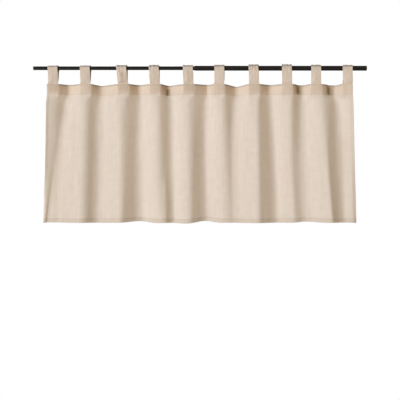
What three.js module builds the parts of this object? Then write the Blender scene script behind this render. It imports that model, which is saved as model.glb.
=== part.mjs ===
// A short tab top curtain on a telescopic rod, in millimetres, +Z up.
// The origin is on the rod's axis, halfway along the rod. +X runs along the rod and +Y away from the room.
import * as THREE from 'three';

// Rod: a thin tube that slides in a thick one, with a plug in each end
const ROD_LENGTH = 1300;
const OUTER_TUBE = { radius: 9.5, wall: 0.8, start: -25.5, lipLength: 9, lipRadius: 7.9, lipWall: 0.35 };
const INNER_TUBE = { radius: 7.25, wall: 0.7, overlap: 150 };
const CAP = { length: 8, spigot: 14, chamfer: 0.8 };
const ROD_SIDES = 28;

// Cloth: the flat panel is about 1340 wide between its finished sides and is hung in nine folds
const CLOTH = 1.5;
const SEAM_GAP = 0.3;
const PANEL = {
  top: -61.6,
  bottom: -602.6,
  left: [-597, -598, -602, -614],
  leftBack: [0, -11, -7, 18],
  right: [595.5, 599, 605, 614],
  rightBack: [0, 4, 14, 24],
};
const HEADING = { height: 41, thickness: 1.2 };
const BOTTOM_HEM = { height: 17, thickness: 2.3, step: 2 };
const SIDE_HEM = { width: 10, thickness: 2.1 };
const TAB = {
  width: 40,
  thickness: 1.5,
  tail: 2.2,
  tailLength: 36,
  footRise: 2,
  eyeRise: 6,
  clearance: 0.5,
  shoulder: 2.5,
};

// The folds, a row for each. Lists of four hold the heading, just under it, the middle and the hem. crest and turn
// leave out the heading, where the crest is at the tab's foot.
// tab: middle of the tab at the fold's left end, on the rod. lean: how far its foot stands to the right of its top.
// twist: how far its back strip stands to the right, as a share of its depth. crest, valley: the fold's front and
// back lines. proud: how far back the crest is, and deep: the valley. turn: how softly the crest rolls to its right.
// sag: how far the top edge drops in the valley. lift: how far the hem rises there, and drop: how far it hangs down
// at the crest. The first and the last crest are cut short by the sides of the cloth.
const FOLDS = [
  { tab: -573.5, lean: 0, twist: 0.2, crest: [-585, -603, -628], proud: [0, 2, 3, 6], turn: [12, 12, 6],
    valley: [-511, -519, -556, -598], deep: [27, 25, 20, 22], sag: 1, lift: 1.5, drop: 0 },
  { tab: -447, lean: 0, twist: 0.18, crest: [-461, -467, -472], proud: [0, -6, -9, -11], turn: [20, 20, 24],
    valley: [-386, -394, -400, -410], deep: [28, 31, 29, 28], sag: 5, lift: 0, drop: 0 },
  { tab: -303.5, lean: 4.5, twist: 0.16, crest: [-318, -321, -325], proud: [0, -3, -4, -6], turn: [40, 24, 14],
    valley: [-236, -232, -240, -240], deep: [32, 42, 44, 50], sag: 1, lift: 7, drop: 0 },
  { tab: -178, lean: 3, twist: 0.14, crest: [-177, -175, -160], proud: [0, -2, -2, -3], turn: [38, 38, 34],
    valley: [-121, -115, -111, -104], deep: [32, 35, 36, 30], sag: 4.5, lift: 0, drop: 1 },
  { tab: -46.8, lean: 2.5, twist: 0.05, crest: [-56, -57, -58], proud: [0, -3, -5, -8], turn: [28, 22, 18],
    valley: [34, 28, 17, 22], deep: [32, 36, 42, 44], sag: 0, lift: 9, drop: 3 },
  { tab: 74.5, lean: 0, twist: 0.04, crest: [75, 78, 84], proud: [0, -4, 2, 8], turn: [24, 22, 30],
    valley: [144, 135, 131, 139], deep: [34, 31, 23, 16], sag: 8, lift: 0, drop: 0 },
  { tab: 210, lean: 1.5, twist: 0.12, crest: [205, 208, 212], proud: [0, -7, -12, -14], turn: [12, 10, 14],
    valley: [277, 279, 289, 298], deep: [31, 36, 37, 38], sag: 0.5, lift: 0, drop: 1 },
  { tab: 339, lean: 1, twist: 0.04, crest: [337, 335, 353], proud: [0, -4, 0, 7], turn: [14, 12, 18],
    valley: [404, 400, 403, 412], deep: [34, 32, 26, 29], sag: 1.5, lift: 5.5, drop: 0 },
  { tab: 453, lean: 0.5, twist: 0.04, crest: [466, 474, 497], proud: [0, -6, -9, -8], turn: [36, 10, 5],
    valley: [532, 542, 548, 556], deep: [34, 36, 35, 36], sag: 2.5, lift: 0, drop: 0 },
  { tab: 574, lean: 1, twist: 0.1, crest: [594, 608, 614], proud: [0, 2, 4, 4] },
];
// The four heights, as shares of the way down from the heading's seam to the hem. At each of them: the width of the
// crests, how much further back their left side is, and how far their left bends and the valleys are rounded.
// A bend is rounded over at most ROUND_SHARE of the cloth to either side.
const HEIGHTS = [0, 0.055, 0.45, 1];
const CREST_WIDTH = [TAB.width + 2 * TAB.shoulder, 42, 40, 38];
const CREST_LEAN = [0, 7, 12, 12];
const CREST_ROUND = [TAB.shoulder, 30, 34, 36];
const VALLEY_ROUND = [14, 24, 30, 30];
const ROUND_SHARE = 0.46;
const BEND_POINTS = 4;
// How fast the sag of the top edge is taken up on the way down
const SAG_FADE = 9;
const BODY_ROWS = 7;
const BODY_ROW_EASE = 1.5;
const TAB_STEPS = 14;

const clothLook = new THREE.MeshStandardMaterial({ color: 0xe0cdb6, roughness: 0.95, metalness: 0 });
const headingLook = new THREE.MeshStandardMaterial({ color: 0xd9c2a8, roughness: 0.95, metalness: 0 });
const tabLook = new THREE.MeshStandardMaterial({ color: 0xd6c2b1, roughness: 0.95, metalness: 0 });
const rodLook = new THREE.MeshStandardMaterial({ color: 0x141414, roughness: 0.45, metalness: 0.6 });
const capLook = new THREE.MeshStandardMaterial({ color: 0x111111, roughness: 0.6, metalness: 0 });

const curtain = new THREE.Group();

function add(name, geometry, material, place = [0, 0, 0]) {
  const mesh = new THREE.Mesh(geometry, material);
  mesh.name = name;
  mesh.position.set(...place);
  curtain.add(mesh);
  return mesh;
}

// A turned piece on the rod's axis, from a closed outline of [distance along the rod, radius]
function turned(name, outline, material) {
  const startsOnAxis = outline[0][1] === 0;
  const closed = startsOnAxis ? outline : [...outline, outline[0]];
  const points = closed.map(([along, radius]) => new THREE.Vector2(radius, along));
  const mesh = add(name, new THREE.LatheGeometry(points, ROD_SIDES), material);
  mesh.rotation.z = -Math.PI / 2;
}

// The plug of one rod end. side is -1 for the left end and 1 for the right.
function endCap(name, tube, side) {
  const face = (side * ROD_LENGTH) / 2;
  const shoulder = face - side * CAP.length;
  const tip = shoulder - side * CAP.spigot;
  const spigot = tube.radius - tube.wall - SEAM_GAP;
  const outline = [
    [face, 0],
    [face, tube.radius - CAP.chamfer],
    [face - side * CAP.chamfer, tube.radius],
    [shoulder, tube.radius],
    [shoulder, spigot],
    [tip, spigot],
    [tip, 0],
  ];
  turned(name, side > 0 ? outline.reverse() : outline, capLook);
}

function rod() {
  const tubeEnd = ROD_LENGTH / 2 - CAP.length - SEAM_GAP;
  const { radius, wall, start, lipLength, lipRadius, lipWall } = OUTER_TUBE;
  turned('rod_outer_tube', [
    [start, lipRadius - lipWall],
    [start, lipRadius],
    [start + lipLength, radius],
    [tubeEnd, radius],
    [tubeEnd, radius - wall],
    [start + lipLength, radius - wall],
  ], rodLook);
  const inner = INNER_TUBE.radius;
  const bore = inner - INNER_TUBE.wall;
  const innerEnd = start + INNER_TUBE.overlap;
  turned('rod_inner_tube', [
    [-tubeEnd, bore],
    [-tubeEnd, inner],
    [innerEnd, inner],
    [innerEnd, bore],
  ], rodLook);
  endCap('rod_end_cap_left', INNER_TUBE, -1);
  endCap('rod_end_cap_right', OUTER_TUBE, 1);
}

// A value at one height, on a smooth curve through its values at the four heights that never overshoots them.
// down is 0 at the heading's lower seam, and 1 at the hem.
function between(values, down) {
  const slope = (k) => (values[k + 1] - values[k]) / (HEIGHTS[k + 1] - HEIGHTS[k]);
  const last = HEIGHTS.length - 2;
  const tangent = (k) => {
    if (k === 0) return slope(0);
    if (k > last) return slope(last);
    const [before, after] = [slope(k - 1), slope(k)];
    return before * after > 0 ? (2 * before * after) / (before + after) : 0;
  };
  const k = HEIGHTS.findLastIndex((height, i) => i <= last && height <= down);
  const step = HEIGHTS[k + 1] - HEIGHTS[k];
  const s = (down - HEIGHTS[k]) / step;
  const rise = values[k + 1] - values[k];
  const bow = (tangent(k) * step - rise) * (1 - s) - (tangent(k + 1) * step - rise) * s;
  return values[k] + rise * s + s * (1 - s) * bow;
}

// The bends of the cloth in plan at one height, from left to right: place, depth, rounding, and how far the top edge
// sags and the hem is lifted there
function bends(down) {
  const half = between(CREST_WIDTH, down) / 2;
  const edge = { round: 0, sag: 0, lift: 0, onTab: true };
  const list = [{ ...edge, x: between(PANEL.left, down), y: between(PANEL.leftBack, down) }];
  for (const fold of FOLDS) {
    const x = between([fold.tab + fold.lean, ...fold.crest], down);
    const y = between(fold.proud, down);
    const crest = { sag: 0, lift: -(fold.drop ?? 0), onTab: true };
    if (fold !== FOLDS[0]) {
      list.push({ ...crest, x: x - half, y: y + between(CREST_LEAN, down), round: between(CREST_ROUND, down) });
    }
    if (fold.valley) {
      list.push({ ...crest, x: x + half, y, round: between([TAB.shoulder, ...fold.turn], down) });
      list.push({
        x: between(fold.valley, down), y: between(fold.deep, down), round: between(VALLEY_ROUND, down),
        sag: fold.sag, lift: fold.lift, onTab: false,
      });
    }
  }
  list.push({ ...edge, x: between(PANEL.right, down), y: between(PANEL.rightBack, down) });
  return list;
}

function mix(a, b, share) {
  return {
    x: THREE.MathUtils.lerp(a.x, b.x, share),
    y: THREE.MathUtils.lerp(a.y, b.y, share),
    sag: THREE.MathUtils.lerp(a.sag, b.sag, share),
    lift: THREE.MathUtils.lerp(a.lift, b.lift, share),
  };
}

// The cloth's line in plan at one height: each bend is a short curve between its two straight legs
function planLine(down) {
  const list = bends(down);
  const [left, right] = [list[0], list[list.length - 1]];
  const line = [left, sideHemPoint(left, list[1])];
  for (let i = 1; i < list.length - 1; i += 1) {
    const [before, bend, after] = [list[i - 1], list[i], list[i + 1]];
    const start = mix(bend, before, roundShare(bend, before));
    const end = mix(bend, after, roundShare(bend, after));
    for (let k = 0; k < BEND_POINTS; k += 1) {
      const share = k / (BEND_POINTS - 1);
      const point = mix(mix(start, bend, share), mix(bend, end, share), share);
      line.push({ ...point, onTab: bend.onTab });
    }
  }
  line.push(sideHemPoint(right, list[list.length - 2]), right);
  return line;
}

function roundShare(bend, other) {
  const length = Math.hypot(other.x - bend.x, other.y - bend.y);
  return Math.min(bend.round / length, ROUND_SHARE);
}

function sideHemPoint(edge, next) {
  const length = Math.hypot(next.x - edge.x, next.y - edge.y);
  return { ...mix(edge, next, SIDE_HEM.width / length), onTab: true };
}

// The middle of the cloth as rows of points. rows is a list of heights, 0 at the top edge and 1 at the hem.
function clothRows(rows) {
  const drop = PANEL.top - PANEL.bottom;
  const seam = HEADING.height / drop;
  return rows.map((row) => {
    const down = Math.max(0, (row - seam) / (1 - seam));
    return planLine(down).map((point) => ({
      ...point,
      z: PANEL.top - point.sag * (1 - row) ** SAG_FADE - row * (drop - point.lift),
    }));
  });
}

// A closed sheet between two level offsets from the cloth's middle, each a function of row, column and point
function sheet(rows, frontOffset, backOffset) {
  const [rowCount, columnCount] = [rows.length, rows[0].length];
  const middle = rows.map((row) => row.map(({ x, y, z }) => new THREE.Vector3(x, y, z)));
  const normal = (r, c) => {
    const across = middle[r][Math.min(c + 1, columnCount - 1)].clone().sub(middle[r][Math.max(c - 1, 0)]);
    return new THREE.Vector3(across.y, -across.x, 0).normalize();
  };
  const positions = [];
  for (const offset of [frontOffset, backOffset]) {
    rows.forEach((row, r) => row.forEach((point, c) => {
      positions.push(...middle[r][c].clone().addScaledVector(normal(r, c), offset(r, c, point)).toArray());
    }));
  }
  const at = (side, r, c) => side * rowCount * columnCount + r * columnCount + c;
  const faces = [];
  const quad = (a, b, c, d) => faces.push(a, b, c, a, c, d);
  for (let r = 0; r < rowCount - 1; r += 1) {
    for (let c = 0; c < columnCount - 1; c += 1) {
      quad(at(0, r, c), at(0, r + 1, c), at(0, r + 1, c + 1), at(0, r, c + 1));
      quad(at(1, r, c), at(1, r, c + 1), at(1, r + 1, c + 1), at(1, r + 1, c));
    }
  }
  for (let c = 0; c < columnCount - 1; c += 1) {
    const last = rowCount - 1;
    quad(at(0, 0, c), at(0, 0, c + 1), at(1, 0, c + 1), at(1, 0, c));
    quad(at(0, last, c + 1), at(0, last, c), at(1, last, c), at(1, last, c + 1));
  }
  for (let r = 0; r < rowCount - 1; r += 1) {
    const last = columnCount - 1;
    quad(at(0, r + 1, 0), at(0, r, 0), at(1, r, 0), at(1, r + 1, 0));
    quad(at(0, r, last), at(0, r + 1, last), at(1, r + 1, last), at(1, r, last));
  }
  const geometry = new THREE.BufferGeometry();
  geometry.setAttribute('position', new THREE.Float32BufferAttribute(positions, 3));
  geometry.setIndex(faces);
  geometry.computeVertexNormals();
  return geometry;
}

// The cloth hangs in front of the tabs' tails, so its middle is this far in front of the rod's axis
const PANEL_FORWARD = TAB.tail / 2 + SEAM_GAP + CLOTH / 2;

function headingSteps() {
  const seam = HEADING.height / (PANEL.top - PANEL.bottom);
  return [0, seam / 2, seam];
}

function panel() {
  const drop = PANEL.top - PANEL.bottom;
  const steps = headingSteps();
  const seam = steps[steps.length - 1];
  const hemTop = 1 - BOTTOM_HEM.height / drop;
  for (let i = 1; i < BODY_ROWS; i += 1) {
    steps.push(THREE.MathUtils.lerp(seam, hemTop, (i / BODY_ROWS) ** BODY_ROW_EASE));
  }
  steps.push(hemTop - BOTTOM_HEM.step / drop, hemTop, 1);
  const rows = clothRows(steps);
  const lastColumn = rows[0].length - 1;
  const thickness = (r, c) => {
    if (steps[r] >= hemTop) return BOTTOM_HEM.thickness;
    const atSide = c === 0 || c === lastColumn;
    return atSide && steps[r] > seam ? SIDE_HEM.thickness : CLOTH;
  };
  // The hems are turned to the back, so the front of the cloth stays level
  const geometry = sheet(rows, () => CLOTH / 2, (r, c) => CLOTH / 2 - thickness(r, c));
  add('curtain_panel', geometry, clothLook, [0, -PANEL_FORWARD, 0]);
}

function headingBand() {
  const rows = clothRows(headingSteps());
  const front = (r, c, point) => -(CLOTH / 2 + SEAM_GAP + (point.onTab ? TAB.tail + SEAM_GAP : 0));
  const back = (r, c, point) => front(r, c, point) - HEADING.thickness;
  add('heading_band', sheet(rows, front, back), headingLook, [0, -PANEL_FORWARD, 0]);
}

// A tab's outline in section: up from its foot on one side, round over the rod, and down to its foot on the other.
// Each leg leaves the round stretch on a tangent.
function overRod(path, radius, foot) {
  const legAngle = Math.acos(radius / Math.hypot(foot.y, foot.z)) + Math.atan2(foot.y, -foot.z);
  path.lineTo(foot.y, foot.z);
  path.lineTo(radius * Math.sin(legAngle), -radius * Math.cos(legAngle));
  path.absarc(0, 0, radius, legAngle - Math.PI / 2, 1.5 * Math.PI - legAngle, false);
  path.lineTo(-foot.y, foot.z);
}

// A strip folded over the rod. Its two ends are pressed into one tail inside the heading.
function tab(name, fold, rodRadius) {
  const inside = rodRadius + TAB.clearance;
  const half = TAB.tail / 2;
  const tailEnd = PANEL.top - TAB.tailLength;
  const section = new THREE.Shape();
  section.moveTo(half, tailEnd);
  overRod(section, inside + TAB.thickness, { y: half, z: PANEL.top + TAB.footRise });
  section.lineTo(-half, tailEnd);
  const eye = new THREE.Path();
  const eyeFoot = PANEL.top + TAB.eyeRise;
  eye.moveTo(0, eyeFoot);
  overRod(eye, inside, { y: 0, z: eyeFoot });
  section.holes.push(eye);
  const extrusion = { depth: TAB.width, bevelEnabled: false, curveSegments: TAB_STEPS };
  const geometry = new THREE.ExtrudeGeometry(section, extrusion);
  geometry.translate(0, 0, -TAB.width / 2);
  // The section lies across the rod, and the strip's width along it
  geometry.applyMatrix4(new THREE.Matrix4().makeBasis(
    new THREE.Vector3(0, 1, 0), new THREE.Vector3(0, 0, 1), new THREE.Vector3(1, 0, 0)));
  const position = geometry.getAttribute('position');
  for (let i = 0; i < position.count; i += 1) {
    const [x, y, z] = [position.getX(i), position.getY(i), position.getZ(i)];
    const down = Math.min(1, Math.max(0, z / PANEL.top));
    position.setX(i, x + fold.lean * down + fold.twist * y * (1 - down));
  }
  geometry.computeVertexNormals();
  add(name, geometry, tabLook, [fold.tab, 0, 0]);
}

rod();
panel();
headingBand();
FOLDS.forEach((fold, i) => {
  const rodRadius = fold.tab < OUTER_TUBE.start ? INNER_TUBE.radius : OUTER_TUBE.radius;
  tab(`tab_${String(i + 1).padStart(2, '0')}`, fold, rodRadius);
});

export default curtain;
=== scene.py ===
import math
from collections import namedtuple

import bmesh
import bpy
import numpy as np
from mathutils import Matrix, Vector, noise


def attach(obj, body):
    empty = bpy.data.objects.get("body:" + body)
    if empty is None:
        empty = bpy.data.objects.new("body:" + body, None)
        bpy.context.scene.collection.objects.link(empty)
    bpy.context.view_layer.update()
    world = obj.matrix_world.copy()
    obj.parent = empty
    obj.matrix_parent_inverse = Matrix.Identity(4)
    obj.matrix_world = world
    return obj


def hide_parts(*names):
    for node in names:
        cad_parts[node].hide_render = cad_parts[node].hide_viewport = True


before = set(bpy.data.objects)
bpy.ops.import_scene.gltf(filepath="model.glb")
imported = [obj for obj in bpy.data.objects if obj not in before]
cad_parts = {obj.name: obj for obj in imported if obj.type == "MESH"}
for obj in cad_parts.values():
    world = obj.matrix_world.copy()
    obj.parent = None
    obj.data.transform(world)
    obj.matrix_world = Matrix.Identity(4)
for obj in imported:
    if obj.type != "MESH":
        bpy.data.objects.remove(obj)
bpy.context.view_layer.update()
scene = bpy.context.scene

# Camera
# The photograph is taken square on to the cloth, from far enough that nothing in it leans. One of its
# pixels is 3.9 mm at the rod, and the rod lies above the middle of the picture.
MM = 0.001
PHOTO_SIDE = 400
PIXEL = 3.9 * MM
ROD_ROW = 68.25
SENSOR = 36.0
LENS = 80.0
view_width = PHOTO_SIDE * PIXEL
camera_data = bpy.data.cameras.new("camera")
camera_data.sensor_width = SENSOR
camera_data.lens = LENS
camera = bpy.data.objects.new("camera", camera_data)
camera.location = (0, -view_width * LENS / SENSOR, -(PHOTO_SIDE / 2 - ROD_ROW) * PIXEL)
camera.rotation_euler = (math.pi / 2, 0, 0)
scene.collection.objects.link(camera)
scene.camera = camera

# Rod tubes and plugs
# Two steel tubes, drawn and seam welded, then powder coated black in a fine satin. The thin one slides in
# the thick one, whose end is rolled in to meet it. A plain moulded plug closes each outer end.
ROD_SEGMENTS = 72
ROD_LENGTH = 1300 * MM
CAP_LENGTH = 8 * MM
THIN_RADIUS = 7.25 * MM
THICK_RADIUS = 9.5 * MM
THIN_END = 124.5 * MM
THICK_START = -25.5 * MM
LIP = 9 * MM
LIP_RADIUS = 7.9 * MM
LIP_WALL = 0.35 * MM
# The lip's curve between its ends, as shares of its length and of how far it rises
LIP_CURVE = [(0.4, 0.5), (0.7, 0.85)]
WALL = 0.8 * MM
JOINT_GAP = 0.3 * MM
SPIGOT = 14 * MM
CAP_EDGE = 1.0 * MM
SAME_PLACE = 0.001 * MM
SHARP_ANGLE = math.radians(35)


def srgb(code):
    """A hex colour as linear red, green, blue and alpha."""
    parts = [int(code[i:i + 2], 16) / 255 for i in (1, 3, 5)]
    return (*[p / 12.92 if p <= 0.04045 else ((p + 0.055) / 1.055) ** 2.4 for p in parts], 1.0)


def add_node(tree, kind, settings=None, links=None):
    """Adds a shader node. settings are its own values and its sockets' values, and links feed its sockets."""
    made = tree.nodes.new(kind)
    for name, value in (settings or {}).items():
        if name in made.inputs:
            made.inputs[name].default_value = value
        else:
            setattr(made, name, value)
    for name, source in (links or {}).items():
        tree.links.new(source, made.inputs[name])
    return made


def new_material(name):
    """An empty material and its node tree."""
    made = bpy.data.materials.new(name)
    made.use_nodes = True
    made.node_tree.nodes.clear()
    return made, made.node_tree


def finish_piece(bm, name, material, slot, *nodes):
    """Makes a shown piece of a bmesh, riding on the root body in place of the named nodes."""
    mesh = bpy.data.meshes.new(name)
    bm.to_mesh(mesh)
    bm.free()
    for face in mesh.polygons:
        face.use_smooth = True
    mesh.materials.append(material)
    piece = bpy.data.objects.new(name, mesh)
    scene.collection.objects.link(piece)
    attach(piece, "root")
    if nodes:
        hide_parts(*nodes)
    return piece


def turned_piece(name, outline, material, slot, *nodes):
    """Spins an outline of (distance along the rod, radius) round the rod's axis."""
    bm = bmesh.new()
    verts = [bm.verts.new((along, 0, radius)) for along, radius in outline]
    edges = [bm.edges.new(pair) for pair in zip(verts, verts[1:])]
    if outline[0][1] > 0:
        edges.append(bm.edges.new((verts[-1], verts[0])))
    bmesh.ops.spin(
        bm, geom=verts + edges, cent=(0, 0, 0), axis=(1, 0, 0), angle=2 * math.pi, steps=ROD_SEGMENTS,
        use_merge=True)
    bmesh.ops.remove_doubles(bm, verts=bm.verts, dist=SAME_PLACE)
    bmesh.ops.recalc_face_normals(bm, faces=bm.faces)
    piece = finish_piece(bm, name, material, slot, *nodes)
    piece.data.set_sharp_from_angle(angle=SHARP_ANGLE)


# Polyester powder coat, baked on: a near-black satin with a fine orange peel and a slightly uneven gloss
COAT_PEEL = 1.11 * MM
COAT_PATCH = 71.4 * MM
powder_coat, tree = new_material("black_powder_coat")
coat_position = add_node(tree, "ShaderNodeTexCoord").outputs["Object"]
coat_peel = add_node(
    tree, "ShaderNodeTexNoise", {"Scale": 1 / COAT_PEEL, "Detail": 3}, {"Vector": coat_position})
coat_gloss = add_node(
    tree, "ShaderNodeTexNoise", {"Scale": 1 / COAT_PATCH, "Detail": 4}, {"Vector": coat_position})
coat_roughness = add_node(
    tree, "ShaderNodeMapRange", {"To Min": 0.34, "To Max": 0.5}, {"Value": coat_gloss.outputs["Fac"]})
coat_bump = add_node(
    tree, "ShaderNodeBump", {"Strength": 0.18, "Distance": 0.05 * MM}, {"Height": coat_peel.outputs["Fac"]})
coat_shader = add_node(
    tree, "ShaderNodeBsdfPrincipled", {"Base Color": srgb("#101010"), "IOR": 1.5, "Specular IOR Level": 0.35},
    {"Roughness": coat_roughness.outputs["Result"], "Normal": coat_bump.outputs["Normal"]})
add_node(tree, "ShaderNodeOutputMaterial", links={"Surface": coat_shader.outputs["BSDF"]})

tube_end = ROD_LENGTH / 2 - CAP_LENGTH - JOINT_GAP
lip_rise = THICK_RADIUS - LIP_RADIUS
turned_piece("rod_thin_tube", [
    (-tube_end, THIN_RADIUS - WALL),
    (-tube_end, THIN_RADIUS),
    (THIN_END, THIN_RADIUS),
    (THIN_END, THIN_RADIUS - WALL),
], powder_coat, "rod", "rod_inner_tube")
turned_piece("rod_thick_tube", [
    (THICK_START, LIP_RADIUS - LIP_WALL),
    (THICK_START, LIP_RADIUS),
    *[(THICK_START + along * LIP, LIP_RADIUS + out * lip_rise) for along, out in LIP_CURVE],
    (THICK_START + LIP, THICK_RADIUS),
    (tube_end, THICK_RADIUS),
    (tube_end, THICK_RADIUS - WALL),
    (THICK_START + LIP, THICK_RADIUS - WALL),
], powder_coat, "rod", "rod_outer_tube")

# Black plastic, moulded in an etched tool: duller than the coated steel, with a fine even grain. The grain
# is drawn coarser than it is, so that it shows.
CAP_GRAIN = 0.67 * MM
cap_plastic, tree = new_material("moulded_black_plastic")
cap_grain = add_node(
    tree, "ShaderNodeTexNoise", {"Scale": 1 / CAP_GRAIN, "Detail": 2},
    {"Vector": add_node(tree, "ShaderNodeTexCoord").outputs["Object"]})
cap_bump = add_node(
    tree, "ShaderNodeBump", {"Strength": 0.3, "Distance": 0.04 * MM}, {"Height": cap_grain.outputs["Fac"]})
cap_shader = add_node(
    tree, "ShaderNodeBsdfPrincipled", {"Base Color": srgb("#0e0e0e"), "IOR": 1.46, "Roughness": 0.55},
    {"Normal": cap_bump.outputs["Normal"]})
add_node(tree, "ShaderNodeOutputMaterial", links={"Surface": cap_shader.outputs["BSDF"]})


def end_plug(name, node, radius, side):
    """The plug of one rod end. side is -1 for the left end and 1 for the right."""
    face = side * ROD_LENGTH / 2
    shoulder = face - side * CAP_LENGTH
    spigot = radius - WALL - JOINT_GAP
    turned_piece(name, [
        (face, 0),
        (face, radius - CAP_EDGE),
        (face - side * 0.3 * CAP_EDGE, radius - 0.3 * CAP_EDGE),
        (face - side * CAP_EDGE, radius),
        (shoulder, radius),
        (shoulder, spigot),
        (shoulder - side * SPIGOT, spigot),
        (shoulder - side * SPIGOT, 0),
    ], cap_plastic, "cap", node)


end_plug("rod_plug_left", "rod_end_cap_left", THIN_RADIUS, -1)
end_plug("rod_plug_right", "rod_end_cap_right", THICK_RADIUS, 1)

# Curtain panel
# One cut of plain-woven cotton and linen, undyed beige, that hangs from the tabs in nine uneven folds. Its
# sides and its lower edge are turned to the back and stitched. Its top is the front of the heading, with the
# tabs behind it. These sizes are in mm, and the panel's own are between its finished edges.
PANEL_WIDTH = 1340.0
PANEL_TOP = -61.6
PANEL_DROP = 541.0
PANEL_FORWARD = 0.9
CLOTH_THICKNESS = 0.5
HEADING_HEIGHT = 41.0
HEADING_SEAM = 38.5
BOTTOM_HEM = 17.0
SIDE_HEM = 10.0
STITCH_INSET = 1.2
HEM_SEAM = PANEL_DROP - BOTTOM_HEM + STITCH_INSET
TAB_WIDTH = 40.0
TAIL_LENGTH = 36.0
# A tail's edges show softly through the heading, over this width
TAIL_BLUR = 2.0
# How far apart the two layers of a hem are, and over how much cloth the thicker corner of two hems thins out
TURN_GAP = 0.9
CORNER_EASE = 6.0
# How fast the sag of the top edge is taken up on the way down
SAG_FADE = 9
# How much of the cloth to either side tells which way it faces
FACING_REACH = 1.6
# The heading's seam, just under it, the middle and the hem, as shares of the way down. At each of them: how
# wide the crests are, how much further back their left side is, how far their left bends and the valleys are
# rounded, and where the two sides of the cloth are.
HEIGHTS = (0.0, 0.055, 0.45, 1.0)
CREST_WIDTH = (45, 42, 40, 38)
CREST_LEAN = (0, 7, 12, 12)
CREST_ROUND = (2.5, 30, 34, 36)
VALLEY_ROUND = (14, 24, 30, 30)
HEADING_TURN = 3.5
LEFT_EDGE = (-597, -598, -602, -614)
LEFT_BACK = (0, -11, -7, 18)
RIGHT_EDGE = (595.5, 599, 605, 614)
RIGHT_BACK = (0, 4, 14, 24)
# A bend is rounded over at most this share of the cloth to either side
ROUND_SHARE = 0.48
BEND_STEPS = 14
# A row for each fold, in mm, with lists of values at the HEIGHTS. tab is the middle of the tab at its
# left, on the rod. lean is how far that tab's foot stands to the right of its top, and twist how far the
# back of its top lies to the right of the front, as a share of its depth. crest and valley are where the
# fold comes furthest forward and furthest back, proud and deep are how far back it lies there, and turn is
# how softly the cloth rolls from the crest to the right. crest and turn leave out the seam's height,
# because there the crest is at the tab's foot and HEADING_TURN holds. The top edge sags over the valley,
# the hem lifts under it, and the hem drops under the crest.
Fold = namedtuple("Fold", "tab lean twist crest proud turn valley deep sag lift drop")
FOLDS = [
    Fold(-573.5, 0, 0.20, (-585, -603, -628), (0, 2, 3, 6), (12, 12, 6),
         (-511, -519, -556, -598), (27, 25, 20, 22), 1, 1.5, 0),
    Fold(-447, 0, 0.18, (-461, -467, -472), (0, -6, -9, -11), (20, 20, 24),
         (-386, -394, -400, -410), (28, 31, 29, 28), 5, 0, 0),
    Fold(-303.5, 4.5, 0.16, (-318, -321, -325), (0, -3, -4, -6), (40, 24, 14),
         (-236, -232, -240, -240), (32, 42, 44, 50), 1, 7, 0),
    Fold(-178, 3, 0.14, (-177, -175, -160), (0, -2, -2, -3), (38, 38, 34),
         (-121, -115, -111, -104), (32, 35, 36, 30), 4.5, 0, 1),
    Fold(-46.8, 2.5, 0.05, (-56, -57, -58), (0, -3, -5, -8), (28, 22, 18),
         (34, 28, 17, 22), (32, 36, 42, 44), 0, 9, 3),
    Fold(74.5, 0, 0.04, (75, 78, 84), (0, -4, 2, 8), (24, 22, 30),
         (144, 135, 131, 139), (34, 31, 23, 16), 8, 0, 0),
    Fold(210, 1.5, 0.12, (205, 208, 212), (0, -7, -12, -14), (12, 10, 14),
         (277, 279, 289, 298), (31, 36, 37, 38), 0.5, 0, 1),
    Fold(339, 1, 0.04, (337, 335, 353), (0, -4, 0, 7), (14, 12, 18),
         (404, 400, 403, 412), (34, 32, 26, 29), 1.5, 5.5, 0),
    Fold(453, 0.5, 0.04, (466, 474, 497), (0, -6, -9, -8), (36, 10, 5),
         (532, 542, 548, 556), (34, 36, 35, 36), 2.5, 0, 0),
    Fold(574, 1, 0.10, (594, 608, 614), (0, 2, 4, 4), (20, 20, 20), None, None, 0, 0, 0),
]
TAB_FEET = np.array([fold.tab + fold.lean for fold in FOLDS])


def between(values, down):
    """A value at one height, on a smooth curve through its values at HEIGHTS."""
    steps = [b - a for a, b in zip(HEIGHTS, HEIGHTS[1:])]
    slopes = [(b - a) / s for a, b, s in zip(values, values[1:], steps)]
    tangents = [slopes[0]]
    for before, after in zip(slopes, slopes[1:]):
        tangents.append(2 * before * after / (before + after) if before * after > 0 else 0)
    tangents.append(slopes[-1])
    k = max(i for i in range(len(steps)) if down >= HEIGHTS[i])
    s = (down - HEIGHTS[k]) / steps[k]
    rise = values[k] * (1 - s) + values[k + 1] * s
    bend = (tangents[k] * steps[k] - (values[k + 1] - values[k])) * (1 - s)
    bend -= (tangents[k + 1] * steps[k] - (values[k + 1] - values[k])) * s
    return rise + s * (1 - s) * bend


def bends(down):
    """The cloth's bends in plan at one height, left to right, as rows of x, y, rounding, sag and lift."""
    half = between(CREST_WIDTH, down) / 2
    crest_round, valley_round = between(CREST_ROUND, down), between(VALLEY_ROUND, down)
    rows = [(between(LEFT_EDGE, down), between(LEFT_BACK, down), 0, 0, 0)]
    for fold in FOLDS:
        x = between((fold.tab + fold.lean, *fold.crest), down)
        y = between(fold.proud, down)
        if fold is not FOLDS[0]:
            rows.append((x - half, y + between(CREST_LEAN, down), crest_round, 0, -fold.drop))
        if fold.valley:
            turn = between((HEADING_TURN, *fold.turn), down)
            valley, deep = between(fold.valley, down), between(fold.deep, down)
            rows.append((x + half, y, turn, 0, -fold.drop))
            rows.append((valley, deep, valley_round, fold.sag, fold.lift))
    rows.append((between(RIGHT_EDGE, down), between(RIGHT_BACK, down), 0, 0, 0))
    return np.array(rows, float)


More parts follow.
